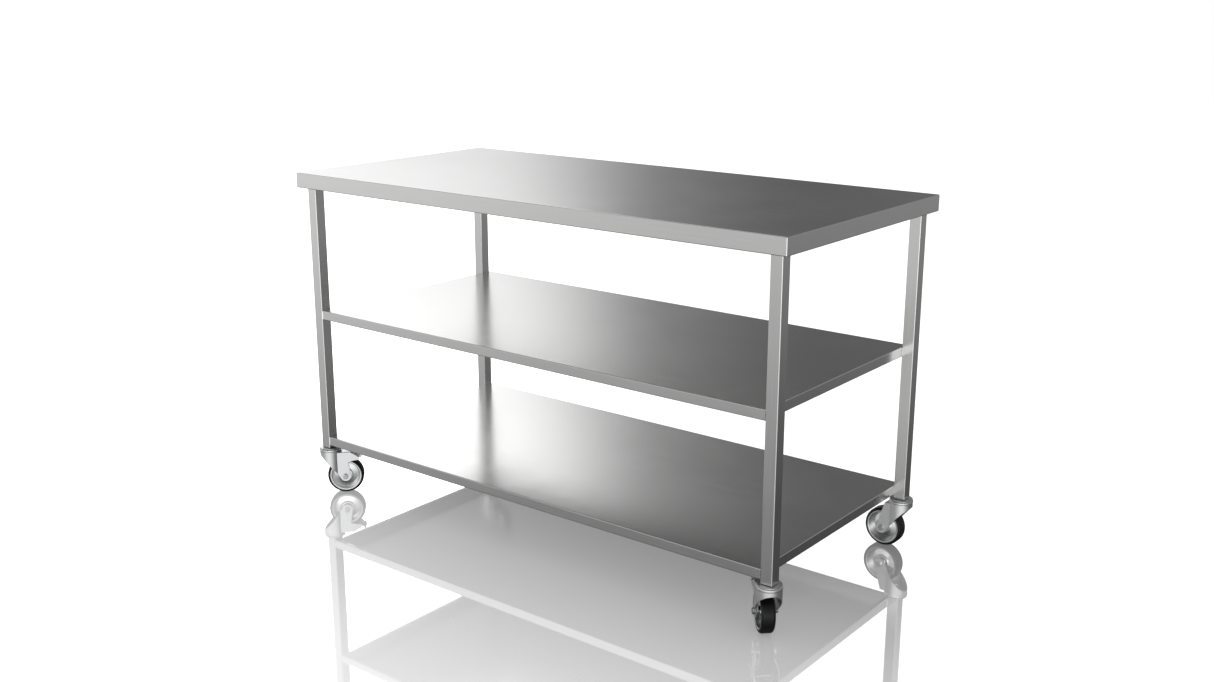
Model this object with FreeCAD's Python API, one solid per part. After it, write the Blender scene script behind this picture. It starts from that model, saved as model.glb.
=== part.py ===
import FreeCAD, Part
import math
import os

# Stainless work table with two under-shelves on four swivel casters.
# Units are millimetres. +X runs along the length, +Y from the front to the back, +Z up.
# The origin is on the floor under the centre of the worktop.

# Table
TABLE_LENGTH = 1500.0
TABLE_WIDTH = 700.0
TABLE_HEIGHT = 900.0
TOP_EDGE = 40.0            # depth of the folded edge of the worktop
TOP_SHEET = 1.2
TOP_RETURN = 12.0          # inward fold along the bottom of the edge
BOARD_THICKNESS = 16.0     # laminated board glued under the worktop sheet
BOARD_GAP = 1.0            # between the board and the inward folds, seen from below
LEG_INSET = 20.0           # from the worktop's edge to the leg's outer face
LEG_SIZE = 30.0
LEG_WALL = 1.5
LEG_CORNER = 2.0
MIN_CORNER = 0.4           # smallest inner corner of a tube
RAIL_HEIGHT = 20.0
RAIL_WALL = 1.5
MID_SHELF_TOP = 527.0
BOTTOM_SHELF_TOP = 167.0
SHELF_EDGE = 25.0
SHELF_SHEET = 1.0
SHELF_RETURN = 10.0
SHELF_SETBACK = 1.5        # shelf edge behind the outer faces of the legs
BEND_RADIUS = 2.0          # outside radius of the upright corners of the pans
FOLD_RADIUS = 1.9          # outside radius of the level folds
MITRE_GAP = 0.5            # slit between two inward folds at a corner
WELD_SIZE = 1.6
SCREW_RADIUS = 2.2
SCREW_HEAD_RADIUS = 4.6
SCREW_HEAD_HEIGHT = 2.6
SCREW_BITE = 12.0          # depth of the screw in the board
SCREW_HEAD_ROUNDING = 1.6
SCREW_SLACK = 0.3          # clearance of the screw in the rail
SCREW_SLOT_REACH = 2.8
SCREW_SLOT_HALF_WIDTH = 0.5
SCREW_SLOT_DEPTH = 1.1
SCREW_SPREAD = 0.75        # outermost screws as a share of the rail's half length

# Leg plug and fixing bolt (M12)
LEG_BOTTOM = 134.6
PLUG_FLANGE = 1.6
PLUG_FLANGE_SIZE = 28.6
PLUG_LENGTH = 38.0
PLUG_SLACK = 0.1
PLUG_FLANGE_CORNER = 5.0
PLUG_CORNER = 1.0
BOLT_RADIUS = 6.0
BOLT_HEAD_FLATS = 18.0
BOLT_HEAD_HEIGHT = 7.5
BOLT_TOP = 168.0
NUT_FLATS = 18.0
NUT_HEIGHT = 10.0
NUT_BOTTOM = 150.0
HEX_CHAMFER_SHARE = 0.8    # of the distance from the flats to the corners
HEX_CHAMFER_SLOPE = 0.6

# Swivel head, from the top down
HEAD_TOP = LEG_BOTTOM - PLUG_FLANGE
CUP_RADIUS = 28.6
CUP_THICKNESS = 2.4
CUP_EDGE = 1.1             # rounding of the upper cup's rim
SWIVEL_GAP = 0.4           # between the upper cup and the rim of the fork crown
SLEEVE_RADIUS = 9.0
BALL_RADIUS = 2.5
RACE_CLEARANCE = 0.05
UPPER_RACE_RADIUS = 19.4
UPPER_BALL_Z = 127.5
LOWER_RACE_RADIUS = 16.4
LOWER_BALL_Z = 118.6
RACE_DEPTH = 0.8           # depth of the ball grooves
RACE_SHOULDER = 3.4        # race ring outside the circle of the balls
LOWER_CUP_RADIUS = 20.0
LOWER_CUP_THICKNESS = 3.4
LOWER_CUP_EDGE = 1.2
BALL_SPACING = 1.16        # ball pitch along the race over ball diameter

# Fork, in caster axes: x along the trail, y along the wheel axle, z up
TRAIL = 40.0
WHEEL_RADIUS = 50.0
HEAD_RADIUS = 29.8
SKIRT_RADIUS = 29.0
FORK_SHEET = 2.5
FORK_HALF_WIDTH = 22.0     # outer face of the side plates
CROWN_HOLE = 11.5
BEAD_BOTTOM = 122.4        # underside of the bead around the crown
BEAD_WIDTH = 4.2
BEAD_ROUNDING = 2.8
FORK_TOP = 119.0           # top edge of the side plates
LOBE_RADIUS = 14.3         # rounded lower end of the side plates
SKIRT_FRONT_Z = 114.0      # lower edge of the skirt at the front
SKIRT_MIDDLE = (-5.0, 88.5)  # (x, z) that the bowed lower edge passes half way
SKIRT_REAR_Z = 57.0        # lower edge of the skirt where it meets the side plates
PLAIN_REAR = 34.0          # rear end of the plain fork's top web
PLAIN_REAR_ROUNDING = 2.5
BRAKE_WEB_REAR = 30.0
EAR_NECK = 48.0            # rear edge of the brake fork above the wheel's hub
EAR_KNEE = 56.0            # where the ear's top edge starts to slope
EAR_END = 81.0
EAR_END_TOP = 103.0
EAR_END_BOTTOM = 98.0
EAR_NECK_Z = 92.0
EAR_NECK_ROUNDING = 4.5
EAR_END_LEAN = 2.0
EAR_END_ROUNDING = 1.5
EAR_KNEE_ROUNDING = 4.0
FORK_LAP = 1.0             # how far the side plates run into the skirt
AXLE_HOLE_SLACK = 0.1

# Wheel and axle (M8)
TREAD_HALF_WIDTH = 16.0
SHOULDER_RADIUS = 7.0
RIM_SHEET = 1.6
RIM_BEND = 2.2             # outside bend radius
RIM_LIP_RADIUS = 42.8
RIM_LIP_INNER = 38.4
RIM_WELL_RADIUS = 35.6
WEB_EDGE_HEIGHT = 4.2      # outer edge of the conical web from the wheel's middle plane
BOSS_HEIGHT = 11.4
HUB_HALF_LENGTH = 18.5
HUB_RADIUS = 12.0
HUB_BORE = 9.2
HUB_EDGE = 0.5
BOSS_RADIUS = 18.0
BOSS_EDGE_HEIGHT = 10.8
BOSS_FOOT_RADIUS = 20.6
BOSS_FOOT_HEIGHT = 8.2
AXLE_SLEEVE_RADIUS = 6.0
BUSH_CLEARANCE = 0.05
BUSH_SETBACK = 0.5         # bush behind the ends of the hub
AXLE_RADIUS = 4.0
AXLE_HEAD_FLATS = 13.0
AXLE_HEAD_HEIGHT = 5.3
AXLE_NUT_HEIGHT = 6.5
WASHER_RADIUS = 8.0
WASHER_THICKNESS = 1.2
AXLE_THREAD_PROUD = 1.5
AXLE_END_CHAMFER = 0.8
NUT_COLLAR_RADIUS = 5.9
NUT_COLLAR_HEIGHT = 1.0
NUT_COLLAR_ROUNDING = 0.7

# Wheel brake
PIVOT_X = 38.0
PIVOT_Z = 109.5
PIN_RADIUS = 3.0
PIN_HEAD_RADIUS = 4.4      # flush countersunk ends
PIN_HEAD_DEPTH = 1.4
PIN_CLEARANCE = 0.06
PEDAL_SHEET = 2.0
PEDAL_BEND = 3.2
PEDAL_HALF_WIDTH = 17.8
PEDAL_FRONT = 32.0
PEDAL_TOP = 119.8
PEDAL_SLOPE_END = 80.0
PEDAL_SLOPE_END_Z = 105.0
PEDAL_TOE = 85.0
PEDAL_TOE_TOP = 112.5
PEDAL_TOE_HALF_WIDTH = 21.5
PEDAL_TOE_LEAN = 2.0
PEDAL_EAR_GAP = 1.2        # between the ears and the wide toe
CHEEK_FRONT = 33.5
CHEEK_REAR = 63.0
CHEEK_BOTTOM = 104.0
CHEEK_BELOW_PIN = 3.0
CHEEK_REAR_DEPTH = 6.0
CHEEK_REAR_SLOPE = 10.0
RIB_RADIUS = 1.3
RIB_SINK = 0.4             # rib's middle below the pedal's upper face
RIB_INSET = 3.0
RIB_PLACES = (0.28, 0.82)  # shares of the sloping part
SHOE_FRONT = 50.0
SHOE_REAR = 62.0
SHOE_HALF_WIDTH = 12.0
SHOE_SHEET = 3.0
SHOE_DEPTH = 22.0
BRAKE_TRAVEL = 9.0         # degrees the pedal turns from released to locked
LOCKED_GAP = 0.35          # left between shoe and tread when locked
SPRING_THICKNESS = 1.0
SPRING_HALF_WIDTH = 7.0
SPRING_BEND = 1.6
SPRING_FRONT = 21.6
SPRING_DROP = 2.2          # step down to the flat that bears on the pedal
SPRING_FLAT = (-3.5, 6.0)  # ends of that flat, from the pivot
OVERSHOOT = 1.0            # cutters and joined solids reach this far past the face they meet
WIDE = 30.0                # half width of cutters that span the whole fork

# Casters: corner, side signs of the kingpin, direction of the trail, brake
CASTERS = [
    ("front_left", -1, -1, 44.3, True),
    ("front_right", 1, -1, 134.3, True),
    ("rear_left", -1, 1, 2.5, False),
    ("rear_right", 1, 1, 179.0, False),
]

# Places that follow from the sizes above
HALF_LENGTH = TABLE_LENGTH / 2
HALF_WIDTH = TABLE_WIDTH / 2
LEG_X = HALF_LENGTH - LEG_INSET - LEG_SIZE / 2
LEG_Y = HALF_WIDTH - LEG_INSET - LEG_SIZE / 2
LEG_INNER_X = LEG_X - LEG_SIZE / 2
LEG_INNER_Y = LEG_Y - LEG_SIZE / 2
BOARD_TOP = TABLE_HEIGHT - TOP_SHEET
FRAME_TOP = BOARD_TOP - BOARD_THICKNESS
RAIL_BOTTOM = FRAME_TOP - RAIL_HEIGHT
SHELF_HALF_WIDTH = LEG_Y + LEG_SIZE / 2 - SHELF_SETBACK
CUP_BOTTOM = HEAD_TOP - CUP_THICKNESS
CROWN_TOP = UPPER_BALL_Z - BALL_RADIUS + RACE_DEPTH
CROWN_BOTTOM = LOWER_BALL_Z + BALL_RADIUS - RACE_DEPTH
LOWER_CUP_TOP = LOWER_BALL_Z - BALL_RADIUS - RACE_CLEARANCE + RACE_DEPTH
LOWER_CUP_BOTTOM = LOWER_CUP_TOP - LOWER_CUP_THICKNESS
WEB_BOTTOM = FORK_TOP - FORK_SHEET
FORK_INNER = FORK_HALF_WIDTH - FORK_SHEET
SKIRT_END = math.sqrt(SKIRT_RADIUS ** 2 - FORK_HALF_WIDTH ** 2)
PEDAL_SLOPE = (PEDAL_SLOPE_END_Z - PEDAL_TOP) / (PEDAL_SLOPE_END - EAR_KNEE)

X_AXIS = FreeCAD.Vector(1, 0, 0)
Y_AXIS = FreeCAD.Vector(0, 1, 0)
Z_AXIS = FreeCAD.Vector(0, 0, 1)
ORIGIN = FreeCAD.Vector(0, 0, 0)


def vec(x, y, z):
    return FreeCAD.Vector(x, y, z)


def box(x0, x1, y0, y1, z0, z1):
    """Box between two corners."""
    return Part.makeBox(x1 - x0, y1 - y0, z1 - z0, vec(x0, y0, z0))


def cylinder(radius, z0, z1, x=0.0, y=0.0):
    """Upright cylinder."""
    return Part.makeCylinder(radius, z1 - z0, vec(x, y, z0))


def ring(inner, outer, z0, z1):
    """Upright ring about the Z axis."""
    return cylinder(outer, z0, z1).cut(cylinder(inner, z0 - OVERSHOOT, z1 + OVERSHOOT))


def bar_along_y(radius, x, z, y0, y1):
    """Round bar along Y."""
    return Part.makeCylinder(radius, y1 - y0, vec(x, y0, z), Y_AXIS)


def hexagon(flats, z0, z1):
    """Upright hexagonal prism with its corners rounded off at the top and bottom."""
    corner = flats / math.sqrt(3)
    points = [vec(corner * math.cos(a), corner * math.sin(a), z0)
              for a in (math.radians(60 * i) for i in range(7))]
    prism = Part.Face(Part.makePolygon(points)).extrude(vec(0, 0, z1 - z0))
    chamfer = (corner - flats / 2) * HEX_CHAMFER_SHARE
    depth = chamfer * HEX_CHAMFER_SLOPE
    profile = [(0, z0), (corner - chamfer, z0), (corner, z0 + depth),
               (corner, z1 - depth), (corner - chamfer, z1), (0, z1)]
    return prism.common(revolved(profile))


def revolved(profile):
    """Solid of revolution about Z from (radius, z) points."""
    points = [vec(r, 0, z) for r, z in profile]
    face = Part.Face(Part.makePolygon(points + points[:1]))
    return face.revolve(ORIGIN, Z_AXIS, 360)


def torus(radius, tube, z):
    """Ball groove cutter about the Z axis."""
    return Part.makeTorus(radius, tube, vec(0, 0, z))


def square_tube(size_x, size_y, wall, corner, z0, z1):
    """Upright rectangular tube with rounded corners, centred on the Z axis."""
    outer = rounded_prism(size_x, size_y, corner, z0, z1)
    inner_corner = max(corner - wall, MIN_CORNER)
    inner = rounded_prism(size_x - 2 * wall, size_y - 2 * wall, inner_corner,
                          z0 - OVERSHOOT, z1 + OVERSHOOT)
    return outer.cut(inner)


def rounded_prism(size_x, size_y, corner, z0, z1):
    """Upright rectangular block with rounded vertical edges, centred on the Z axis."""
    block = box(-size_x / 2, size_x / 2, -size_y / 2, size_y / 2, z0, z1)
    return block.makeFillet(corner, upright_edges(block))


def upright_edges(shape):
    """Straight edges that run along Z."""
    found = []
    for edge in shape.Edges:
        start, end = edge.Vertexes[0].Point, edge.Vertexes[-1].Point
        if abs(start.x - end.x) < 1e-6 and abs(start.y - end.y) < 1e-6:
            found.append(edge)
    return found


def edges_at_height(shape, z):
    """Edges that lie in a level plane."""
    return [e for e in shape.Edges
            if abs(e.BoundBox.ZMin - z) < 1e-6 and abs(e.BoundBox.ZMax - z) < 1e-6]


def outer_circles(shape, heights, inner):
    """Circles at the given heights that are wider than the inner radius."""
    return [e for z in heights for e in edges_at_height(shape, z) if e.Curve.Radius > inner + OVERSHOOT]


def rounded_face(points, radii, y=0.0):
    """Face in the XZ plane from corner points; each corner is rounded to its radius."""
    edges = []
    starts, ends = [], []
    for i, (x, z) in enumerate(points):
        before, after = points[i - 1], points[(i + 1) % len(points)]
        into = unit(x - before[0], z - before[1])
        out = unit(after[0] - x, after[1] - z)
        turn = math.atan2(into[0] * out[1] - into[1] * out[0], into[0] * out[0] + into[1] * out[1])
        reach = radii[i] * abs(math.tan(turn / 2))
        starts.append(vec(x - reach * into[0], y, z - reach * into[1]))
        ends.append(vec(x + reach * out[0], y, z + reach * out[1]))
        if reach > 1e-6:
            inward = unit(out[0] - into[0], out[1] - into[1])
            depth = radii[i] * (1 / math.cos(turn / 2) - 1)
            middle = vec(x + depth * inward[0], y, z + depth * inward[1])
            edges.append(Part.Arc(starts[-1], middle, ends[-1]).toShape())
    for i, start in enumerate(starts):
        if (start - ends[i - 1]).Length > 1e-6:
            edges.append(Part.LineSegment(ends[i - 1], start).toShape())
    return Part.Face(Part.Wire(Part.__sortEdges__(edges)))


def unit(x, z):
    """Direction of length one."""
    length = math.hypot(x, z)
    return x / length, z / length


def extruded_y(points, half_width, radii=None):
    """Plate across Y from an (x, z) outline, its corners rounded where radii are given."""
    face = rounded_face(points, radii or [0] * len(points), -half_width)
    return face.extrude(vec(0, 2 * half_width, 0))


def strip(points, thickness, radius):
    """Outline and corner radii of a bent strip whose upper face follows the (x, z) points."""
    headings = [unit(b[0] - a[0], b[1] - a[1]) for a, b in zip(points, points[1:])]
    lower, upper_radii, lower_radii = [], [], []
    for i, (x, z) in enumerate(points):
        into = headings[max(i - 1, 0)]
        out = headings[min(i, len(headings) - 1)]
        spread = 1 + into[0] * out[0] + into[1] * out[1]
        lower.append((x + thickness * (into[1] + out[1]) / spread,
                      z - thickness * (into[0] + out[0]) / spread))
        turn = into[0] * out[1] - into[1] * out[0]
        bend = radius if abs(turn) > 1e-6 else 0
        upper_radii.append(bend if turn < 0 else max(bend - thickness, 0))
        lower_radii.append(bend if turn > 0 else max(bend - thickness, 0))
    return list(points) + lower[::-1], upper_radii + lower_radii[::-1]


def bent_strip(points, thickness, radius, half_width):
    """Bent strip across Y."""
    outline, radii = strip(points, thickness, radius)
    return extruded_y(outline, half_width, radii)


def group(shapes):
    """Separate solids that share one node."""
    return Part.makeCompound(shapes)


def save(name, shape):
    """Write one sub-part."""
    shape.exportStep(f"parts/{name}.step")


# Table top, shelves and frame

def tray(length, width, depth, sheet, fold, top):
    """Folded sheet pan, open below: level sheet, four edges and inward folds with mitred corners."""
    bottom = top - depth
    outer = rounded_prism(length, width, BEND_RADIUS, bottom, top)
    folds = edges_at_height(outer, top) + edges_at_height(outer, bottom)
    outer = outer.makeFillet(FOLD_RADIUS, folds)
    inner = rounded_prism(length - 2 * sheet, width - 2 * sheet, BEND_RADIUS - sheet,
                          bottom + sheet, top - sheet)
    opening = box(-length / 2 + fold, length / 2 - fold, -width / 2 + fold, width / 2 - fold,
                  bottom - OVERSHOOT, bottom + 2 * sheet)
    pan = outer.cut(inner).cut(opening)
    for side_x in (-1, 1):
        for side_y in (-1, 1):
            slit = box(0, 2 * fold, -MITRE_GAP / 2, MITRE_GAP / 2, bottom - OVERSHOOT, bottom + sheet)
            slit.translate(vec(sheet * math.sqrt(2), 0, 0))
            angle = math.degrees(math.atan2(-side_y, -side_x))
            slit.rotate(ORIGIN, Z_AXIS, angle)
            slit.translate(vec(side_x * length / 2, side_y * width / 2, 0))
            pan = pan.cut(slit)
    return pan


def screw_places():
    """Where the frame is screwed to the board, as (x, y)."""
    reach = LEG_INNER_X * SCREW_SPREAD
    along = [(x * reach, y * LEG_Y) for x in (-1, -1 / 3, 1 / 3, 1) for y in (-1, 1)]
    across = [(x * LEG_X, y * LEG_INNER_Y / 2) for x in (-1, 1) for y in (-1, 1)]
    return along + across


def screw(x, y):
    """Round-headed screw from below, through the rail into the board."""
    head_bottom = RAIL_BOTTOM - SCREW_HEAD_HEIGHT
    head = cylinder(SCREW_HEAD_RADIUS, head_bottom, RAIL_BOTTOM, x, y)
    head = head.makeFillet(SCREW_HEAD_ROUNDING, edges_at_height(head, head_bottom))
    shank = cylinder(SCREW_RADIUS, RAIL_BOTTOM - OVERSHOOT, FRAME_TOP + SCREW_BITE, x, y)
    slot = box(-SCREW_SLOT_REACH, SCREW_SLOT_REACH, -SCREW_SLOT_HALF_WIDTH, SCREW_SLOT_HALF_WIDTH,
               head_bottom - OVERSHOOT, head_bottom + SCREW_SLOT_DEPTH)
    cross = slot.copy()
    cross.rotate(ORIGIN, Z_AXIS, 90)
    recess = slot.fuse(cross)
    recess.translate(vec(x, y, 0))
    return head.fuse(shank).cut(recess)


def screw_holes(shape, radius):
    """Drill a part at every screw."""
    drills = [cylinder(radius, RAIL_BOTTOM - OVERSHOOT, FRAME_TOP + SCREW_BITE, x, y)
              for x, y in screw_places()]
    return shape.cut(group(drills))


def board():
    """Laminated board glued under the worktop sheet."""
    half_x = HALF_LENGTH - TOP_RETURN - BOARD_GAP
    half_y = HALF_WIDTH - TOP_RETURN - BOARD_GAP
    return screw_holes(box(-half_x, half_x, -half_y, half_y, FRAME_TOP, BOARD_TOP), SCREW_RADIUS)


def rail(length, along_x, x, y):
    """Rectangular frame tube under the board."""
    tube = square_tube(RAIL_HEIGHT, LEG_SIZE, RAIL_WALL, LEG_CORNER, -length / 2, length / 2)
    tube.rotate(ORIGIN, Y_AXIS, 90)
    if not along_x:
        tube.rotate(ORIGIN, Z_AXIS, 90)
    tube.translate(vec(x, y, RAIL_BOTTOM + RAIL_HEIGHT / 2))
    return screw_holes(tube, SCREW_RADIUS + SCREW_SLACK)


def leg(side_x, side_y):
    """Square tube leg from the plug flange up to the board."""
    tube = square_tube(LEG_SIZE, LEG_SIZE, LEG_WALL, LEG_CORNER, LEG_BOTTOM, FRAME_TOP)
    tube.translate(vec(side_x * LEG_X, side_y * LEG_Y, 0))
    return tube


def weld(side_x, side_y, face_y, z0, z1):
    """Upright fillet weld in the corner between a leg's inner face and a shelf or rail."""
    corner = vec(side_x * LEG_INNER_X, face_y, z0)
    reach = vec(-side_x * WELD_SIZE, 0, 0)
    depth = vec(0, side_y * SHELF_SETBACK, 0)
    points = [corner, corner + reach, corner + depth, corner]
    return Part.Face(Part.makePolygon(points)).extrude(vec(0, 0, z1 - z0))


def inner_weld(side_x, side_y, top):
    """Upright bead in the corner between a leg's inner face and a shelf's end."""
    corner = vec(side_x * LEG_INNER_X, side_y * LEG_INNER_Y, top - SHELF_EDGE + BEND_RADIUS)
    points = [corner, corner + vec(side_x * WELD_SIZE, 0, 0),
              corner + vec(0, -side_y * WELD_SIZE, 0), corner]
    return Part.Face(Part.makePolygon(points)).extrude(vec(0, 0, SHELF_EDGE - 2 * BEND_RADIUS))


def welds():
    """Fillet welds at the four corners of both shelves."""
    beads = []
    for top in (MID_SHELF_TOP, BOTTOM_SHELF_TOP):
        for side_x in (-1, 1):
            for side_y in (-1, 1):
                face_y = side_y * SHELF_HALF_WIDTH
                beads.append(weld(side_x, side_y, face_y, top - SHELF_EDGE + BEND_RADIUS,
                                  top - BEND_RADIUS))
                beads.append(inner_weld(side_x, side_y, top))
    return beads


def plug():
    """Plastic leg plug with a flange, a bore for the bolt and a pocket for its nut."""
    flange = rounded_prism(PLUG_FLANGE_SIZE, PLUG_FLANGE_SIZE, PLUG_FLANGE_CORNER, HEAD_TOP, LEG_BOTTOM)
    size = LEG_SIZE - 2 * LEG_WALL - 2 * PLUG_SLACK
    body = rounded_prism(size, size, PLUG_CORNER, LEG_BOTTOM, LEG_BOTTOM + PLUG_LENGTH)
    bore = cylinder(BOLT_RADIUS, HEAD_TOP - OVERSHOOT, LEG_BOTTOM + PLUG_LENGTH + OVERSHOOT)
    pocket = hexagon(NUT_FLATS, NUT_BOTTOM, NUT_BOTTOM + NUT_HEIGHT)
    return flange.fuse(body).removeSplitter().cut(bore).cut(pocket)


# Caster head, fixed to the leg

def top_cup():
    """Upper ball cup: pressed disc with a rounded rim and a race ring below."""
    disc = ring(SLEEVE_RADIUS, CUP_RADIUS, CUP_BOTTOM, HEAD_TOP)
    rim = outer_circles(disc, (CUP_BOTTOM, HEAD_TOP), SLEEVE_RADIUS)
    disc = disc.makeFillet(CUP_EDGE, rim)
    race_bottom = UPPER_BALL_Z + BALL_RADIUS + RACE_CLEARANCE - RACE_DEPTH
    race = ring(SLEEVE_RADIUS, UPPER_RACE_RADIUS + RACE_SHOULDER, race_bottom, CUP_BOTTOM)
    groove = torus(UPPER_RACE_RADIUS, BALL_RADIUS + RACE_CLEARANCE, UPPER_BALL_Z)
    return disc.fuse(race).removeSplitter().cut(groove)


def lower_cup():
    """Lower ball cup that carries the fork on its second row of balls."""
    disc = ring(BOLT_RADIUS, LOWER_CUP_RADIUS, LOWER_CUP_BOTTOM, LOWER_CUP_TOP)
    disc = disc.makeFillet(LOWER_CUP_EDGE, outer_circles(disc, (LOWER_CUP_BOTTOM,), BOLT_RADIUS))
    return disc.cut(torus(LOWER_RACE_RADIUS, BALL_RADIUS + RACE_CLEARANCE, LOWER_BALL_Z))


def king_sleeve():
    """Spacer sleeve between the two ball cups."""
    return ring(BOLT_RADIUS, SLEEVE_RADIUS, LOWER_CUP_TOP, HEAD_TOP)


def caster_bolt():
    """M12 bolt from below through the head into the plug's nut."""
    head = hexagon(BOLT_HEAD_FLATS, LOWER_CUP_BOTTOM - BOLT_HEAD_HEIGHT, LOWER_CUP_BOTTOM)
    shank = cylinder(BOLT_RADIUS, LOWER_CUP_BOTTOM, BOLT_TOP)
    return head.fuse(shank)


def ball_rows():
    """Upper and lower rows of balls."""
    balls = []
    for radius, z in ((UPPER_RACE_RADIUS, UPPER_BALL_Z), (LOWER_RACE_RADIUS, LOWER_BALL_Z)):
        count = int(2 * math.pi * radius / (2 * BALL_RADIUS * BALL_SPACING))
        for i in range(count):
            angle = 2 * math.pi * i / count
            place = vec(radius * math.cos(angle), radius * math.sin(angle), z)
            balls.append(Part.makeSphere(BALL_RADIUS, place))
    return group(balls)


# Fork

def crown():
    """Round crown of the fork: ball races, bead around the rim and neck."""
    rim_top = CUP_BOTTOM - SWIVEL_GAP
    bead_inner = HEAD_RADIUS - BEAD_WIDTH
    bead = ring(bead_inner, HEAD_RADIUS, BEAD_BOTTOM, rim_top)
    bead = bead.makeFillet(BEAD_ROUNDING, outer_circles(bead, (BEAD_BOTTOM, rim_top), bead_inner))
    plate = ring(CROWN_HOLE, HEAD_RADIUS - FORK_SHEET, CROWN_BOTTOM, CROWN_TOP)
    neck = ring(SKIRT_RADIUS - 2 * FORK_SHEET, SKIRT_RADIUS, WEB_BOTTOM, BEAD_BOTTOM + FORK_LAP)
    body = bead.multiFuse([plate, neck])
    body = body.cut(torus(UPPER_RACE_RADIUS, BALL_RADIUS, UPPER_BALL_Z))
    return body.cut(torus(LOWER_RACE_RADIUS, BALL_RADIUS, LOWER_BALL_Z))


def skirt():
    """Round front of the fork, cut off along a slope down to the side plates."""
    shell = ring(SKIRT_RADIUS - FORK_SHEET, SKIRT_RADIUS, SKIRT_REAR_Z, BEAD_BOTTOM)
    front = box(-WIDE, SKIRT_END, -WIDE, WIDE, SKIRT_REAR_Z, BEAD_BOTTOM)
    low = SKIRT_REAR_Z - OVERSHOOT
    corners = [vec(x, -WIDE, z) for x, z in (
        (SKIRT_END, SKIRT_REAR_Z), (SKIRT_END, low), (-WIDE, low), (-WIDE, SKIRT_FRONT_Z),
        (-SKIRT_RADIUS, SKIRT_FRONT_Z))]
    edges = [Part.LineSegment(a, b).toShape() for a, b in zip(corners, corners[1:])]
    middle = vec(SKIRT_MIDDLE[0], -WIDE, SKIRT_MIDDLE[1])
    edges.append(Part.Arc(corners[-1], middle, corners[0]).toShape())
    below = Part.Face(Part.Wire(edges)).extrude(vec(0, 2 * WIDE, 0))
    return shell.common(front).cut(below)


def tangent_point(x, z, side):
    """Where a line from (x, z) touches the rounded lower end of a side plate."""
    dx, dz = TRAIL - x, WHEEL_RADIUS - z
    run = math.hypot(dx, dz)
    swing = math.asin(LOBE_RADIUS / run) * side
    heading = math.atan2(dz, dx) + swing
    reach = math.sqrt(run ** 2 - LOBE_RADIUS ** 2)
    return x + reach * math.cos(heading), z + reach * math.sin(heading)


def meeting_point(a, b, c, d):
    """Where the line through a and b meets the line through c and d."""
    ux, uz = b[0] - a[0], b[1] - a[1]
    wx, wz = d[0] - c[0], d[1] - c[1]
    along = ((c[0] - a[0]) * wz - (c[1] - a[1]) * wx) / (ux * wz - uz * wx)
    return a[0] + along * ux, a[1] + along * uz


def side_plate(braked):
    """Side plate on the +Y side: flat, with a rounded lower end, and an ear for a brake."""
    front = (SKIRT_END, SKIRT_REAR_Z)
    if braked:
        rear = [(EAR_NECK, EAR_NECK_Z), (EAR_END - EAR_END_LEAN, EAR_END_BOTTOM),
                (EAR_END, EAR_END_TOP), (EAR_KNEE, FORK_TOP)]
        rear_radii = [EAR_NECK_ROUNDING, EAR_END_ROUNDING, EAR_END_ROUNDING, EAR_KNEE_ROUNDING]
    else:
        rear = [(PLAIN_REAR, FORK_TOP)]
        rear_radii = [PLAIN_REAR_ROUNDING]
    low_corner = meeting_point(front, tangent_point(*front, -1), rear[0], tangent_point(*rear[0], 1))
    lap = SKIRT_END - FORK_LAP
    outline = [low_corner] + rear + [(lap, FORK_TOP), (lap, SKIRT_REAR_Z + FORK_LAP), front]
    radii = [LOBE_RADIUS] + rear_radii + [0, 0, 0]
    face = rounded_face(outline, radii, FORK_INNER)
    plate = face.extrude(vec(0, FORK_SHEET, 0))
    plate = plate.cut(bar_along_y(AXLE_RADIUS + AXLE_HOLE_SLACK, TRAIL, WHEEL_RADIUS, 0, WIDE))
    if braked:
        plate = plate.cut(pivot_pin())
    return plate


def fork(braked):
    """Pressed fork: crown, skirt, top web and two side plates."""
    web_rear = BRAKE_WEB_REAR if braked else PLAIN_REAR
    web = box(SKIRT_END - FORK_LAP, web_rear, -FORK_HALF_WIDTH, FORK_HALF_WIDTH, WEB_BOTTOM, FORK_TOP)
    web = web.cut(cylinder(SKIRT_RADIUS - FORK_SHEET, WEB_BOTTOM - OVERSHOOT, FORK_TOP + OVERSHOOT))
    near = side_plate(braked)
    far = near.mirror(ORIGIN, Y_AXIS)
    return crown().multiFuse([skirt(), web, near, far]).removeSplitter()


# Wheel, built about Z and then laid along the axle

def on_axle(shape):
    """Turn a part built about Z onto the wheel's axle."""
    laid = shape.copy()
    laid.rotate(ORIGIN, X_AXIS, -90)
    laid.translate(vec(TRAIL, 0, WHEEL_RADIUS))
    return laid


def rim_line():
    """Visible (radius, z) line of a rim half from the hub out to the lip."""
    return [(HUB_RADIUS, BOSS_HEIGHT), (BOSS_RADIUS, BOSS_EDGE_HEIGHT),
            (BOSS_FOOT_RADIUS, BOSS_FOOT_HEIGHT), (RIM_WELL_RADIUS, WEB_EDGE_HEIGHT),
            (RIM_LIP_INNER, TREAD_HALF_WIDTH), (RIM_LIP_RADIUS, TREAD_HALF_WIDTH)]


def rim_half():
    """Pressed sheet half of the rim on the +Z side: boss, web, well wall and lip."""
    outline, radii = strip(rim_line(), RIM_SHEET, RIM_BEND)
    return rounded_face(outline, radii).revolve(ORIGIN, Z_AXIS, 360)


def hub_tube():
    """Hub tube held between the two halves of the rim."""
    tube = ring(HUB_BORE, HUB_RADIUS, -HUB_HALF_LENGTH, HUB_HALF_LENGTH)
    ends = outer_circles(tube, (-HUB_HALF_LENGTH, HUB_HALF_LENGTH), HUB_BORE)
    return tube.makeFillet(HUB_EDGE, ends)


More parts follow.
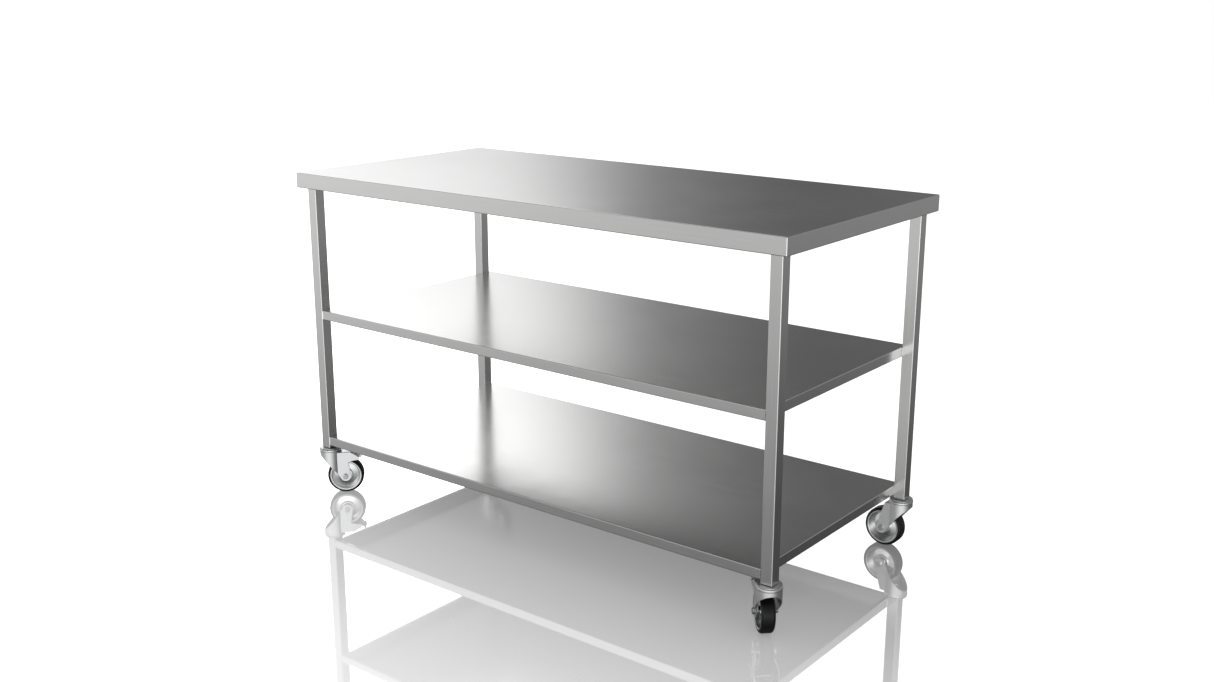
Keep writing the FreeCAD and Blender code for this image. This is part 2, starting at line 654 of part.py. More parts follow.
def tread():
    """Solid rubber tread with rounded shoulders, clamped between the halves of the rim."""
    inner = RIM_WELL_RADIUS + RIM_SHEET
    band = ring(inner, WHEEL_RADIUS, -TREAD_HALF_WIDTH, TREAD_HALF_WIDTH)
    shoulders = outer_circles(band, (-TREAD_HALF_WIDTH, TREAD_HALF_WIDTH), inner)
    band = band.makeFillet(SHOULDER_RADIUS, shoulders)
    outline, _ = strip(rim_line(), RIM_SHEET, 0)
    back = outline[len(outline) // 2:]
    seat = revolved(back + [(0, back[-1][1]), (0, HUB_HALF_LENGTH), (back[0][0], HUB_HALF_LENGTH)])
    for filled in (seat, rim_half()):
        band = band.cut(filled).cut(filled.mirror(ORIGIN, Z_AXIS))
    return band


def hub_bush():
    """Bearing bush pressed into the hub, running on the axle sleeve."""
    half_length = HUB_HALF_LENGTH - BUSH_SETBACK
    return ring(AXLE_SLEEVE_RADIUS + BUSH_CLEARANCE, HUB_BORE, -half_length, half_length)


def axle_sleeve():
    """Steel sleeve clamped between the side plates."""
    return ring(AXLE_RADIUS, AXLE_SLEEVE_RADIUS, -FORK_INNER, FORK_INNER)


def axle_bolt():
    """M8 axle bolt; its head is on the +Z side before it is laid along the axle."""
    head_start = FORK_HALF_WIDTH
    head = hexagon(AXLE_HEAD_FLATS, head_start, head_start + AXLE_HEAD_HEIGHT)
    end = -FORK_HALF_WIDTH - WASHER_THICKNESS - AXLE_NUT_HEIGHT - AXLE_THREAD_PROUD
    shank = cylinder(AXLE_RADIUS, end, head_start + OVERSHOOT)
    shank = shank.makeChamfer(AXLE_END_CHAMFER, edges_at_height(shank, end))
    return head.fuse(shank)


def axle_nut():
    """Washer and self-locking nut on the axle bolt."""
    washer_end = -FORK_HALF_WIDTH - WASHER_THICKNESS
    washer = ring(AXLE_RADIUS, WASHER_RADIUS, washer_end, -FORK_HALF_WIDTH)
    nut_end = washer_end - AXLE_NUT_HEIGHT
    nut = hexagon(AXLE_HEAD_FLATS, nut_end, washer_end)
    collar_end = nut_end - NUT_COLLAR_HEIGHT
    collar = cylinder(NUT_COLLAR_RADIUS, collar_end, nut_end)
    collar = collar.makeFillet(NUT_COLLAR_ROUNDING, edges_at_height(collar, collar_end))
    bore = cylinder(AXLE_RADIUS, collar_end - OVERSHOOT, washer_end + OVERSHOOT)
    nut = nut.fuse(collar).cut(bore)
    return group([washer, nut])


# Brake

def turned_about_pivot(shape, degrees):
    """Turn a brake part about the pedal's pivot; positive presses the toe down."""
    turned = shape.copy()
    turned.rotate(vec(PIVOT_X, 0, PIVOT_Z), Y_AXIS, degrees)
    return turned


def pedal():
    """Pressed pedal between the fork's ears: tread plate, two cheeks, ribs and upturned toe."""
    top_line = [(PEDAL_FRONT, PEDAL_TOP), (EAR_KNEE, PEDAL_TOP),
                (PEDAL_SLOPE_END, PEDAL_SLOPE_END_Z), (PEDAL_TOE, PEDAL_SLOPE_END_Z),
                (PEDAL_TOE + PEDAL_TOE_LEAN, PEDAL_TOE_TOP)]
    plate = bent_strip(top_line, PEDAL_SHEET, PEDAL_BEND, PEDAL_TOE_HALF_WIDTH)
    flank = box(PEDAL_FRONT - OVERSHOOT, EAR_END + PEDAL_EAR_GAP, PEDAL_HALF_WIDTH, WIDE,
                0, PEDAL_TOP + OVERSHOOT)
    plate = plate.cut(flank).cut(flank.mirror(ORIGIN, Y_AXIS))
    body = plate.multiFuse([cheeks()] + ribs())
    pin_radius = PIN_RADIUS + PIN_CLEARANCE
    return body.cut(bar_along_y(pin_radius, PIVOT_X, PIVOT_Z, -WIDE, WIDE))


def cheeks():
    """Two upright side walls of the pedal that carry the pin."""
    top = PEDAL_TOP - PEDAL_SHEET / 2
    rear_top = top + PEDAL_SLOPE * (CHEEK_REAR - EAR_KNEE)
    outline = [(CHEEK_FRONT, top), (CHEEK_FRONT, PIVOT_Z - CHEEK_BELOW_PIN),
               (PIVOT_X - CHEEK_BELOW_PIN, CHEEK_BOTTOM), (CHEEK_REAR - CHEEK_REAR_SLOPE, CHEEK_BOTTOM),
               (CHEEK_REAR, rear_top - CHEEK_REAR_DEPTH), (CHEEK_REAR, rear_top), (EAR_KNEE, top)]
    inner = PEDAL_HALF_WIDTH - PEDAL_SHEET
    hollow = box(0, 2 * CHEEK_REAR, -inner, inner, 0, TABLE_HEIGHT)
    return extruded_y(outline, PEDAL_HALF_WIDTH).cut(hollow)


def ribs():
    """Round ribs across the sloping part of the pedal."""
    half_length = PEDAL_HALF_WIDTH - RIB_INSET
    bars = []
    for share in RIB_PLACES:
        x = EAR_KNEE + share * (PEDAL_SLOPE_END - EAR_KNEE)
        z = PEDAL_TOP + PEDAL_SLOPE * (x - EAR_KNEE) - RIB_SINK
        bars.append(bar_along_y(RIB_RADIUS, x, z, -half_length, half_length))
    return bars


def shoe():
    """Brake shoe under the pedal, bent so that it lies along the tread when locked."""
    top = PEDAL_TOP - PEDAL_SHEET
    block = box(SHOE_FRONT, SHOE_REAR, -SHOE_HALF_WIDTH, SHOE_HALF_WIDTH, top - SHOE_DEPTH, PEDAL_TOP)
    fall = PEDAL_SHEET * (math.sqrt(1 + PEDAL_SLOPE ** 2) - 1)
    front = SHOE_FRONT - OVERSHOOT
    rear = SHOE_REAR + OVERSHOOT
    high = PEDAL_TOP + OVERSHOOT
    above = [(front, top), (EAR_KNEE - OVERSHOOT, top), (rear, top - fall + PEDAL_SLOPE * (rear - EAR_KNEE)),
             (rear, high), (front, high)]
    tyre = bar_along_y(WHEEL_RADIUS + LOCKED_GAP, TRAIL, WHEEL_RADIUS, -WIDE, WIDE)
    block = block.cut(extruded_y(above, WIDE)).cut(turned_about_pivot(tyre, -BRAKE_TRAVEL))
    hollow = box(SHOE_FRONT + SHOE_SHEET, SHOE_REAR - SHOE_SHEET, -WIDE, WIDE, PIVOT_Z - 2 * OVERSHOOT, high)
    return block.cut(hollow)


def pivot_pin():
    """Pin through the ears and the pedal's cheeks, peened flush into countersunk holes."""
    neck = FORK_HALF_WIDTH - PIN_HEAD_DEPTH
    profile = [(0, -FORK_HALF_WIDTH), (PIN_HEAD_RADIUS, -FORK_HALF_WIDTH), (PIN_RADIUS, -neck),
               (PIN_RADIUS, neck), (PIN_HEAD_RADIUS, FORK_HALF_WIDTH), (0, FORK_HALF_WIDTH)]
    pin = revolved(profile)
    pin.rotate(ORIGIN, X_AXIS, -90)
    pin.translate(vec(PIVOT_X, 0, PIVOT_Z))
    return pin


def detent_spring():
    """Leaf spring under the crown that holds the pedal in its two places."""
    flat_z = WEB_BOTTOM - SPRING_DROP
    line = [(SPRING_FRONT, WEB_BOTTOM), (BRAKE_WEB_REAR, WEB_BOTTOM),
            (PIVOT_X + SPRING_FLAT[0], flat_z), (PIVOT_X + SPRING_FLAT[1], flat_z),
            (SHOE_FRONT - SPRING_THICKNESS, PIVOT_Z)]
    return bent_strip(line, SPRING_THICKNESS, SPRING_BEND, SPRING_HALF_WIDTH)


# Assembly

def placed(shape, side_x, side_y, angle):
    """Put a caster part under its leg, trail in the given direction."""
    moved = shape.copy()
    moved.rotate(ORIGIN, Z_AXIS, angle)
    moved.translate(vec(side_x * LEG_X, side_y * LEG_Y, 0))
    return moved


def at_every_caster(shape):
    """The same fixed part under all four legs."""
    return group([placed(shape, side_x, side_y, 0) for _, side_x, side_y, _, _ in CASTERS])


def build_table():
    save("worktop_pan", tray(TABLE_LENGTH, TABLE_WIDTH, TOP_EDGE, TOP_SHEET, TOP_RETURN, TABLE_HEIGHT))
    save("worktop_board", board())
    long_rails = [rail(2 * LEG_INNER_X, True, 0, side * LEG_Y) for side in (-1, 1)]
    save("top_rails_long", group(long_rails))
    cross_rails = [rail(2 * LEG_INNER_Y, False, side * LEG_X, 0) for side in (-1, 1)]
    save("top_rails_cross", group(cross_rails))
    save("board_screws", group([screw(x, y) for x, y in screw_places()]))
    for corner, side_x, side_y, _, _ in CASTERS:
        save(f"leg_{corner}", leg(side_x, side_y))
    for name, top in (("mid_shelf", MID_SHELF_TOP), ("bottom_shelf", BOTTOM_SHELF_TOP)):
        shelf = tray(2 * LEG_INNER_X, 2 * SHELF_HALF_WIDTH, SHELF_EDGE, SHELF_SHEET, SHELF_RETURN, top)
        save(name, shelf)
    save("shelf_welds", group(welds()))


def build_caster_heads():
    nut = hexagon(NUT_FLATS, NUT_BOTTOM, NUT_BOTTOM + NUT_HEIGHT)
    nut = nut.cut(cylinder(BOLT_RADIUS, NUT_BOTTOM - OVERSHOOT, NUT_BOTTOM + NUT_HEIGHT + OVERSHOOT))
    save("leg_plugs", at_every_caster(plug()))
    save("leg_plug_nuts", at_every_caster(nut))
    save("caster_top_cups", at_every_caster(top_cup()))
    save("caster_king_sleeves", at_every_caster(king_sleeve()))
    save("caster_lower_cups", at_every_caster(lower_cup()))
    save("caster_bolts", at_every_caster(caster_bolt()))


def build_casters():
    half = on_axle(rim_half())
    rim = group([half, half.mirror(ORIGIN, Y_AXIS), on_axle(hub_tube())])
    moving = {
        "head_balls": ball_rows(),
        "axle_bolt": on_axle(axle_bolt()),
        "axle_nut": on_axle(axle_nut()),
        "axle_sleeve": on_axle(axle_sleeve()),
        "wheel_rim": rim,
        "wheel_tread": on_axle(tread()),
        "wheel_bush": on_axle(hub_bush()),
    }
    brake = {
        "brake_pedal": pedal(),
        "brake_shoe": shoe(),
        "brake_pin": pivot_pin(),
        "brake_spring": detent_spring(),
    }
    forks = {True: fork(True), False: fork(False)}
    for corner, side_x, side_y, angle, braked in CASTERS:
        parts = dict(moving, fork=forks[braked])
        if braked:
            parts.update(brake)
        for name, shape in parts.items():
            save(f"{name}_{corner}", placed(shape, side_x, side_y, angle))


os.makedirs("parts", exist_ok=True)
build_table()
build_caster_heads()
build_casters()
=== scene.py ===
import bpy
import math
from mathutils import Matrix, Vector

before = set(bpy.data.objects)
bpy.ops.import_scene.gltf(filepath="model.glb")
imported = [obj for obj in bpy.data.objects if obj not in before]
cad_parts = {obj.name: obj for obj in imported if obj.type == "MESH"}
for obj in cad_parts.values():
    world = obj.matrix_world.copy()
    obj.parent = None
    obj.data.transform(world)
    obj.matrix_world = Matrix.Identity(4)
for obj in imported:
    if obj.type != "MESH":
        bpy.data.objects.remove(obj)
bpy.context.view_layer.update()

CORNERS = ("front_left", "front_right", "rear_left", "rear_right")


# ---------------------------------------------------------------- materials

class Shader:
    """A Principled material that is being wired up. Lengths are in metres."""

    def __init__(self, name, metallic, roughness, colour):
        self.material = bpy.data.materials.new(name)
        self.material.use_nodes = True
        self.tree = self.material.node_tree
        self.bsdf = self.tree.nodes["Principled BSDF"]
        self.bsdf.inputs["Metallic"].default_value = metallic
        self.bsdf.inputs["Roughness"].default_value = roughness
        self.bsdf.inputs["Base Color"].default_value = (*colour, 1.0)
        self.coordinates = self.tree.nodes.new("ShaderNodeTexCoord")

    def feed(self, socket, value):
        if isinstance(value, bpy.types.NodeSocket):
            self.tree.links.new(value, socket)
        else:
            socket.default_value = value

    def place(self):
        """Position on the piece, in metres."""
        return self.coordinates.outputs["Object"]

    def facing(self):
        """Direction that the surface faces, on the piece."""
        return self.coordinates.outputs["Normal"]

    def split(self, vector):
        node = self.tree.nodes.new("ShaderNodeSeparateXYZ")
        self.feed(node.inputs[0], vector)
        return node.outputs

    def join(self, x, y, z):
        node = self.tree.nodes.new("ShaderNodeCombineXYZ")
        for socket, value in zip(node.inputs, (x, y, z)):
            self.feed(socket, value)
        return node.outputs[0]

    def math(self, operation, a, b=0.0, c=0.0):
        node = self.tree.nodes.new("ShaderNodeMath")
        node.operation = operation
        for socket, value in zip(node.inputs, (a, b, c)):
            self.feed(socket, value)
        return node.outputs[0]

    def step(self, value, start, end, low=0.0, high=1.0):
        """value between start and end, brought smoothly to low to high."""
        node = self.tree.nodes.new("ShaderNodeMapRange")
        node.interpolation_type = "SMOOTHSTEP"
        for name, number in (("Value", value), ("From Min", start), ("From Max", end),
                             ("To Min", low), ("To Max", high)):
            self.feed(node.inputs[name], number)
        return node.outputs[0]

    def noise(self, scale, vector=None, detail=2.0, rough=0.5, warp=0.0):
        node = self.tree.nodes.new("ShaderNodeTexNoise")
        self.feed(node.inputs["Vector"], vector or self.place())
        node.inputs["Scale"].default_value = scale
        node.inputs["Detail"].default_value = detail
        node.inputs["Roughness"].default_value = rough
        node.inputs["Distortion"].default_value = warp
        return node.outputs["Fac"]

    def total(self, start, *shares):
        """start plus each share's weight times its value's distance from one half."""
        result = start
        for value, weight in shares:
            centred = self.math("SUBTRACT", value, 0.5)
            result = self.math("MULTIPLY_ADD", centred, weight, result)
        return result

    def tint(self, factor, dark, light):
        node = self.tree.nodes.new("ShaderNodeMix")
        node.data_type = "RGBA"
        self.feed(node.inputs["Factor"], factor)
        for socket in node.inputs:
            if socket.type == "RGBA":
                socket.default_value = (*(dark if socket.name == "A" else light), 1.0)
        return [o for o in node.outputs if o.type == "RGBA"][0]

    def distance(self, centre):
        """Distance from a point, in metres."""
        node = self.tree.nodes.new("ShaderNodeVectorMath")
        node.operation = "DISTANCE"
        self.feed(node.inputs[0], self.place())
        self.feed(node.inputs[1], centre)
        return node.outputs["Value"]

    def relief(self, height, depth, strength=1.0):
        node = self.tree.nodes.new("ShaderNodeBump")
        node.inputs["Strength"].default_value = strength
        node.inputs["Distance"].default_value = depth
        self.feed(node.inputs["Height"], height)
        self.feed(self.bsdf.inputs["Normal"], node.outputs[0])

    def finish(self, colour=None, roughness=None):
        if colour is not None:
            self.feed(self.bsdf.inputs["Base Color"], colour)
        if roughness is not None:
            self.feed(self.bsdf.inputs["Roughness"], roughness)
        return self.material


def grain_direction(shader, along):
    """(along the grain, across it) on a sheet or tube whose grain runs along that axis."""
    x, y, z = shader.split(shader.place())
    if along == "z":
        return z, shader.math("ADD", x, y)
    if along == "y":
        return y, shader.math("ADD", x, z)
    if along == "x":
        return x, shader.math("ADD", y, z)
    sideways = shader.split(shader.facing())[0]
    on_end = shader.step(shader.math("ABSOLUTE", sideways), 0.6, 0.8)
    run = shader.math("ADD", x, shader.math("MULTIPLY", z, on_end))
    off_end = shader.math("SUBTRACT", 1.0, on_end)
    cross = shader.math("MULTIPLY_ADD", z, off_end, y)
    return run, cross


def satin_steel(name, along, base, rough, scuffs=0.0):
    """Stainless steel with a satin grain, faint smears and hairline scratches."""
    s = Shader(name, 1.0, rough, base)
    run, cross = grain_direction(s, along)
    fine_way = s.join(s.math("MULTIPLY", run, 16.0), s.math("MULTIPLY", cross, 1500.0), 0.0)
    streak_way = s.join(s.math("MULTIPLY", run, 4.0), s.math("MULTIPLY", cross, 170.0), 3.0)
    fine = s.noise(1.0, fine_way, 2.0)
    streak = s.noise(1.0, streak_way, 3.0)
    smear = s.noise(3.2, detail=3.0, rough=0.6, warp=0.8)
    cloud = s.noise(14.0, detail=2.0)
    dark = tuple(0.955 * c for c in base)
    light = tuple(min(1.0, 1.045 * c) for c in base)
    shade = s.total(0.5, (fine, 0.9), (streak, 0.9), (smear, 0.35))
    roughness = s.total(rough, (fine, 0.07), (streak, 0.06), (smear, 0.09), (cloud, 0.03))
    height = s.math("MULTIPLY_ADD", streak, 0.35, fine)
    if scuffs:
        long_way = s.join(s.math("MULTIPLY", run, 5.0), s.math("MULTIPLY", cross, 16.0), 0.0)
        short_way = s.join(s.math("MULTIPLY", run, 9.0), s.math("MULTIPLY", cross, 6.0), 7.0)
        for number, way in enumerate((long_way, short_way)):
            contour = s.math("ABSOLUTE", s.math("SUBTRACT", s.noise(1.3 + number, way, 2.0), 0.5))
            hair = s.step(contour, 0.0014, 0.0030, 1.0, 0.0)
            patch = s.step(s.noise(5.0 + 3 * number, detail=1.0), 0.56, 0.66)
            scratch = s.math("MULTIPLY", hair, patch)
            roughness = s.math("MULTIPLY_ADD", scratch, scuffs, roughness)
            height = s.math("MULTIPLY_ADD", scratch, -0.5, height)
    s.relief(height, 0.00003, 0.5)
    return s.finish(s.tint(shade, dark, light), roughness)


def zinc(name, base, rough):
    """Zinc on pressed steel: a fine frosted fleck, soft drifts of haze and a few dulled spots."""
    s = Shader(name, 1.0, rough, base)
    fleck = s.noise(820.0, detail=2.0)
    frost = s.noise(2600.0, detail=1.0)
    haze = s.noise(48.0, detail=3.0, rough=0.6)
    dull = s.step(s.noise(150.0, detail=2.0), 0.62, 0.76)
    shade = s.total(0.5, (fleck, 0.7), (frost, 0.4), (haze, 0.6))
    shade = s.math("MULTIPLY_ADD", dull, -0.25, shade)
    dark = tuple(0.88 * c for c in base)
    light = tuple(min(1.0, 1.10 * c) for c in base)
    roughness = s.total(rough, (fleck, 0.12), (haze, 0.10))
    roughness = s.math("MULTIPLY_ADD", dull, 0.08, roughness)
    s.relief(s.total(0.5, (fleck, 0.6), (haze, 0.6)), 0.00002, 0.5)
    return s.finish(s.tint(shade, dark, light), roughness)


def rim_steel(name, base, rough, centre):
    """Smooth plated wheel disc with fine pressing rings around its middle and a little floor dust."""
    s = Shader(name, 1.0, rough, base)
    out = s.distance(centre)
    fine_ring = s.noise(1.0, s.join(s.math("MULTIPLY", out, 2400.0), 0.0, 0.0), 2.0)
    wide_ring = s.noise(1.0, s.join(s.math("MULTIPLY", out, 420.0), 5.0, 0.0), 2.0)
    cloud = s.noise(70.0, detail=3.0, rough=0.6)
    dust = s.step(s.noise(260.0, detail=3.0), 0.58, 0.74)
    shade = s.total(0.5, (fine_ring, 0.35), (wide_ring, 0.45), (cloud, 0.5))
    dark = tuple(0.90 * c for c in base)
    light = tuple(min(1.0, 1.08 * c) for c in base)
    roughness = s.total(rough, (fine_ring, 0.06), (wide_ring, 0.06), (cloud, 0.08))
    roughness = s.math("MULTIPLY_ADD", dust, 0.06, roughness)
    s.relief(fine_ring, 0.00002, 0.5)
    return s.finish(s.tint(shade, dark, light), roughness)


def weld_metal(name):
    """Ground weld: grey, a little rippled, with faint heat tint."""
    s = Shader(name, 1.0, 0.27, (0.6, 0.6, 0.595))
    ripple = s.noise(420.0, detail=2.0, warp=0.3)
    heat = s.noise(180.0, detail=1.0)
    s.relief(ripple, 0.00008, 0.6)
    shade = s.total(0.5, (heat, 1.2), (ripple, 0.3))
    return s.finish(s.tint(shade, (0.54, 0.535, 0.525), (0.65, 0.65, 0.65)), s.total(0.27, (ripple, 0.12)))


def laminate(name):
    """Grey melamine face: a soft print of fine specks and a pebbled touch."""
    s = Shader(name, 0.0, 0.5, (0.5, 0.49, 0.47))
    speck = s.step(s.noise(900.0, detail=1.0), 0.62, 0.70)
    cloud = s.noise(9.0, detail=4.0)
    pebble = s.noise(1600.0, detail=1.0)
    s.relief(pebble, 0.00004, 0.5)
    shade = s.total(0.6, (cloud, 0.5), (speck, -0.5))
    return s.finish(s.tint(shade, (0.40, 0.39, 0.37), (0.58, 0.57, 0.55)),
                    s.total(0.48, (pebble, 0.1), (cloud, 0.08)))


def rubber(name):
    """Solid black rubber, with the bloom and dust that a floor leaves on it."""
    s = Shader(name, 0.0, 0.5, (0.008, 0.008, 0.008))
    s.bsdf.inputs["Specular IOR Level"].default_value = 0.22
    pore = s.noise(1900.0, detail=2.0)
    dust = s.step(s.noise(75.0, detail=4.0, rough=0.65), 0.50, 0.78)
    bloom = s.noise(24.0, detail=2.0)
    s.relief(pore, 0.00005, 0.5)
    shade = s.math("MULTIPLY_ADD", dust, 0.5, s.math("MULTIPLY", bloom, 0.25))
    return s.finish(s.tint(shade, (0.003, 0.003, 0.0035), (0.014, 0.0137, 0.0134)),
                    s.total(0.46, (pore, 0.10), (dust, 0.18), (bloom, 0.12)))


def plastic(name, dark, light, rough):
    s = Shader(name, 0.0, rough, dark)
    grain = s.noise(1300.0, detail=2.0)
    flow = s.noise(45.0, detail=2.0, warp=0.6)
    s.relief(grain, 0.00003, 0.5)
    shade = s.total(0.5, (flow, 0.9), (grain, 0.3))
    return s.finish(s.tint(shade, dark, light), s.total(rough, (grain, 0.10), (flow, 0.08)))


def hard_steel(name, base, rough):
    """Machined, plated or tempered steel of small parts."""
    s = Shader(name, 1.0, rough, base)
    turned = s.noise(2600.0, detail=2.0)
    stain = s.noise(220.0, detail=3.0, rough=0.6)
    s.relief(turned, 0.00002, 0.5)
    dark = tuple(0.82 * c for c in base)
    light = tuple(min(1.0, 1.12 * c) for c in base)
    shade = s.total(0.5, (stain, 1.1), (turned, 0.4))
    return s.finish(s.tint(shade, dark, light), s.total(rough, (turned, 0.10), (stain, 0.16)))


pan_steel = satin_steel("stainless_sheet", "sheet", (0.62, 0.62, 0.615), 0.21, 0.02)
leg_steel = satin_steel("stainless_leg", "z", (0.61, 0.61, 0.605), 0.22, 0.02)
long_rail_steel = satin_steel("stainless_long_rail", "x", (0.6, 0.6, 0.595), 0.27)
cross_rail_steel = satin_steel("stainless_cross_rail", "y", (0.6, 0.6, 0.595), 0.27)
FINISHES = {
    "stainless_sheet": pan_steel,
    "stainless_tube": leg_steel,
    "weld_metal": weld_metal("weld_metal_ground"),
    "laminated_board": laminate("laminated_board_grey"),
    "zinc_plate": zinc("zinc_plate_bright", (0.65, 0.655, 0.66), 0.40),
    "plated_screw": hard_steel("plated_screw_steel", (0.52, 0.53, 0.54), 0.20),
    "spring_steel": hard_steel("spring_steel_blued", (0.28, 0.29, 0.31), 0.32),
    "ball_steel": hard_steel("ball_steel_ground", (0.75, 0.75, 0.76), 0.10),
    "black_rubber": rubber("black_rubber_tread"),
    "black_plastic": plastic("black_plastic_plug", (0.012, 0.012, 0.013), (0.022, 0.022, 0.023), 0.42),
    "nylon": plastic("nylon_bush", (0.62, 0.61, 0.56), (0.74, 0.73, 0.69), 0.38),
}
SPECIAL = {"top_rails_long": long_rail_steel, "top_rails_cross": cross_rail_steel}
for corner in CORNERS:
    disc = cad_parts["wheel_rim_" + corner]
    box = [Vector(point) for point in disc.bound_box]
    middle = (min(box, key=sum) + max(box, key=sum)) / 2
    SPECIAL[disc.name] = rim_steel("rim_steel_" + corner, (0.55, 0.555, 0.56), 0.22, middle)

for node_name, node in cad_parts.items():
    for material_slot in node.material_slots:
        slot_name = material_slot.material.name.split(".")[0]
        material_slot.material = SPECIAL.get(node_name) or FINISHES[slot_name]


# ---------------------------------------------------------------- floor

FLOOR_REACH = 14.0
FLOOR_COLOUR = (0.25, 0.25, 0.25, 1.0)
FLOOR_EVEN = 0.72          # light that the matt share gives off evenly
FLOOR_MIRROR = 0.715       # mirror share at the table's middle
FLOOR_MIRROR_SLOPE = 0.41  # change of that share per metre to the back
FLOOR_MIRROR_LEAST = 0.34
FLOOR_MIRROR_MOST = 0.80


def floor_material():
    """Pale polished floor that is mirror-like at the back and duller towards the front."""
    s = Shader("pale_floor", 0.0, 0.1, (0.9, 0.9, 0.9))
    nodes = s.tree.nodes
    diffuse = nodes.new("ShaderNodeBsdfDiffuse")
    diffuse.inputs["Color"].default_value = FLOOR_COLOUR
    even = nodes.new("ShaderNodeEmission")
    even.inputs["Strength"].default_value = FLOOR_EVEN
    matt = nodes.new("ShaderNodeAddShader")
    s.feed(matt.inputs[0], diffuse.outputs[0])
    s.feed(matt.inputs[1], even.outputs[0])
    gloss = nodes.new("ShaderNodeBsdfAnisotropic")
    gloss.inputs["Color"].default_value = (0.98, 0.98, 0.98, 1.0)
    gloss.inputs["Roughness"].default_value = 0.03
    both = nodes.new("ShaderNodeMixShader")
    polish = s.math("MULTIPLY_ADD", s.split(s.place())[1], FLOOR_MIRROR_SLOPE, FLOOR_MIRROR)
    polish = s.math("MINIMUM", s.math("MAXIMUM", polish, FLOOR_MIRROR_LEAST), FLOOR_MIRROR_MOST)
    s.feed(both.inputs[0], polish)
    s.feed(both.inputs[1], matt.outputs[0])
    s.feed(both.inputs[2], gloss.outputs[0])
    s.feed(nodes["Material Output"].inputs["Surface"], both.outputs[0])
    nodes.remove(s.bsdf)
    return s.material


floor_mesh = bpy.data.meshes.new("floor")
floor_mesh.from_pydata([(-FLOOR_REACH, -FLOOR_REACH, 0), (FLOOR_REACH, -FLOOR_REACH, 0),
                        (FLOOR_REACH, FLOOR_REACH, 0), (-FLOOR_REACH, FLOOR_REACH, 0)], [], [(0, 1, 2, 3)])
floor = bpy.data.objects.new("floor", floor_mesh)
bpy.context.scene.collection.objects.link(floor)
floor.data.materials.append(floor_material())
floor.visible_glossy = False


# ---------------------------------------------------------------- light

# Soft panels that glossy surfaces see. Each has its brightness, the azimuth of its middle, how far it is full
# to each side and how far it then fades, the elevations between which it rises from nothing, and those
# between which it fades again. Azimuth is counted to the left of straight back. Angles are in degrees.
GLOWS = [
    (1.43, 52.0, 8.8, 7.4, (-3.5, 30.0), (45.2, 84.0)),
    (0.20, 48.0, 8.0, 14.0, (8.0, 30.0), (40.0, 70.0)),
    (0.71, 113.0, 58.0, 27.0, (-32.0, -4.0), (25.6, 49.2)),
    (0.28, 116.0, 12.0, 22.0, (-28.0, -6.0), (8.0, 30.0)),
    (0.62, 212.0, 30.0, 38.0, (-52.0, -20.0), (15.0, 60.0)),
    (2.00, 213.0, 12.0, 30.0, (-24.0, -6.0), (-2.0, 18.0)),
    (0.27, -51.0, 43.4, 50.0, (-24.0, -7.0), (46.5, 75.0)),
    (0.40, 0.0, 180.0, 10.0, (50.0, 85.0), (95.0, 100.0)),
]
ROOM = 0.07                # light of the room around the panels
ROOM_BELOW = 0.03          # added to it towards straight down
MATT_LIGHT = 0.75          # even light on matt surfaces


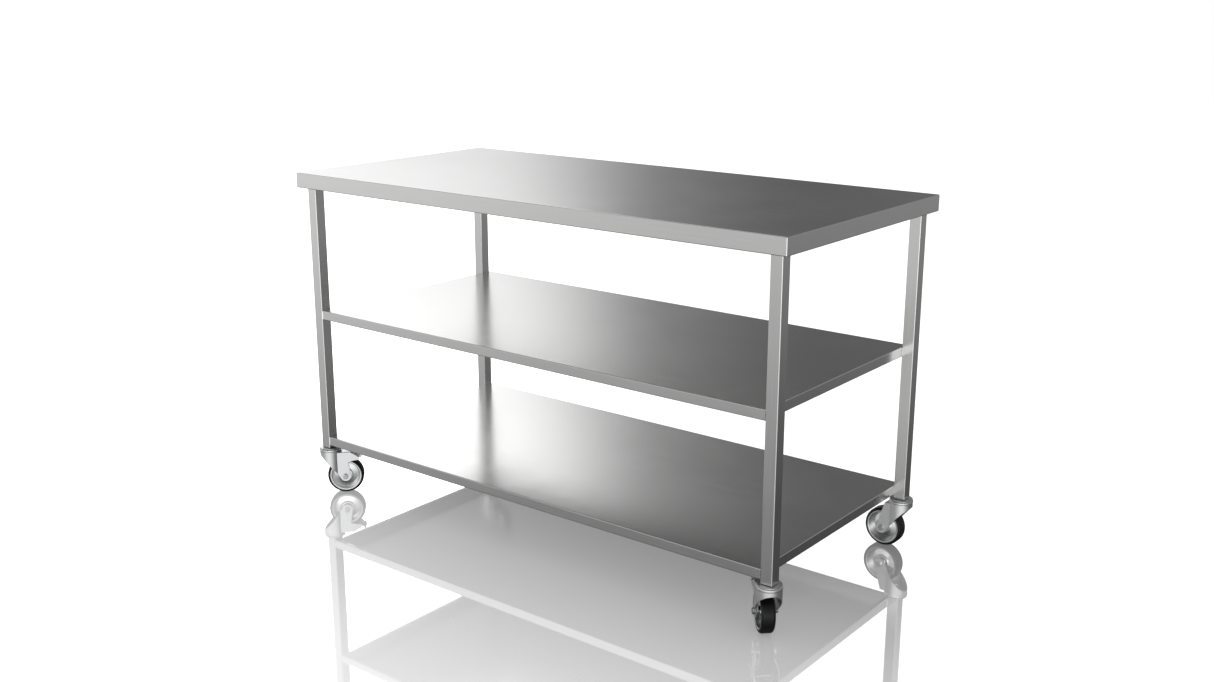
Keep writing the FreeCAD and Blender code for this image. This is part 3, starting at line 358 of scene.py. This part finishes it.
def studio():
    """White to the camera, even light to matt surfaces, soft panels in a grey room to glossy ones."""
    world = bpy.data.worlds.new("studio")
    bpy.context.scene.world = world
    world.use_nodes = True
    tree = world.node_tree
    nodes = tree.nodes
    link = tree.links.new
    background = nodes["Background"]

    def put(socket, value):
        if isinstance(value, bpy.types.NodeSocket):
            link(value, socket)
        else:
            socket.default_value = value

    def maths(operation, a, b=0.0, c=0.0):
        node = nodes.new("ShaderNodeMath")
        node.operation = operation
        for socket, value in zip(node.inputs, (a, b, c)):
            put(socket, value)
        return node.outputs[0]

    def fade(value, start, end, low, high):
        node = nodes.new("ShaderNodeMapRange")
        node.interpolation_type = "SMOOTHSTEP"
        for name, number in (("Value", value), ("From Min", start), ("From Max", end),
                             ("To Min", low), ("To Max", high)):
            put(node.inputs[name], number)
        return node.outputs[0]

    split = nodes.new("ShaderNodeSeparateXYZ")
    link(nodes.new("ShaderNodeTexCoord").outputs["Generated"], split.inputs[0])
    x, y, z = split.outputs
    azimuth = maths("DEGREES", maths("ARCTAN2", maths("MULTIPLY", x, -1.0), y))
    elevation = maths("DEGREES", maths("ARCSINE", z))
    light = fade(elevation, -60.0, -10.0, ROOM + ROOM_BELOW, ROOM)
    for strength, middle, full, soft, rise, fall in GLOWS:
        away = maths("ABSOLUTE", maths("WRAP", maths("SUBTRACT", azimuth, middle), 180.0, -180.0))
        across = fade(away, full, full + soft, 1.0, 0.0)
        up = fade(elevation, *rise, 0.0, strength)
        down = fade(elevation, *fall, 1.0, 0.0)
        light = maths("MULTIPLY_ADD", across, maths("MULTIPLY", up, down), light)
    path = nodes.new("ShaderNodeLightPath")
    seen = maths("MAXIMUM", path.outputs["Is Camera Ray"], MATT_LIGHT)
    choose = nodes.new("ShaderNodeMix")
    choose.data_type = "FLOAT"
    put(choose.inputs["Factor"], path.outputs["Is Glossy Ray"])
    put(choose.inputs["A"], seen)
    put(choose.inputs["B"], light)
    put(background.inputs["Strength"], choose.outputs["Result"])
    background.inputs["Color"].default_value = (1.0, 1.0, 1.0, 1.0)


def panel(name, place, aim, width, height, radiance, only=None):
    """A flat soft light. radiance is how bright its face looks."""
    data = bpy.data.lights.new(name, "AREA")
    data.shape = "RECTANGLE"
    data.size = width
    data.size_y = height
    data.energy = radiance * math.pi * width * height
    lamp = bpy.data.objects.new(name, data)
    bpy.context.scene.collection.objects.link(lamp)
    lamp.location = place
    lamp.rotation_euler = (Vector(aim) - Vector(place)).to_track_quat("-Z", "Y").to_euler()
    lamp.visible_camera = False
    if only is not None:
        lamp.light_linking.receiver_collection = only
    return lamp


studio()
floor_group = bpy.data.collections.new("floor_group")
bpy.context.scene.collection.children.link(floor_group)
floor_group.objects.link(floor)
REACH = 24.0               # from the middle to the white walls that the floor mirrors
WALL = 12.0
FLOOR_GLOW = 1.12
panel("floor_sky", (0, 0, WALL), (0, 0, 0), 2 * REACH, 2 * REACH, FLOOR_GLOW, floor_group)
for name, x, y in (("floor_wall_left", -1, 0), ("floor_wall_right", 1, 0),
                   ("floor_wall_front", 0, -1), ("floor_wall_back", 0, 1)):
    panel(name, (x * REACH, y * REACH, WALL / 2), (0, 0, WALL / 2), 2 * REACH, WALL, FLOOR_GLOW, floor_group)


# ---------------------------------------------------------------- camera

TARGET = Vector((0.020966, 0.0, 0.492752))
AZIMUTH = 38.1941
ELEVATION = 15.0620
DISTANCE = 3.45295
SENSOR = 36.0
LENS = 39.75

a, e = math.radians(AZIMUTH), math.radians(ELEVATION)
toward_camera = Vector((math.sin(a) * math.cos(e), -math.cos(a) * math.cos(e), math.sin(e)))
camera_data = bpy.data.cameras.new("camera")
camera_data.sensor_width = SENSOR
camera_data.lens = LENS
camera = bpy.data.objects.new("camera", camera_data)
bpy.context.scene.collection.objects.link(camera)
camera.location = TARGET + toward_camera * DISTANCE
camera.rotation_euler = (-toward_camera).to_track_quat("-Z", "Y").to_euler()
bpy.context.scene.camera = camera
bpy.context.scene.view_settings.view_transform = "Standard"
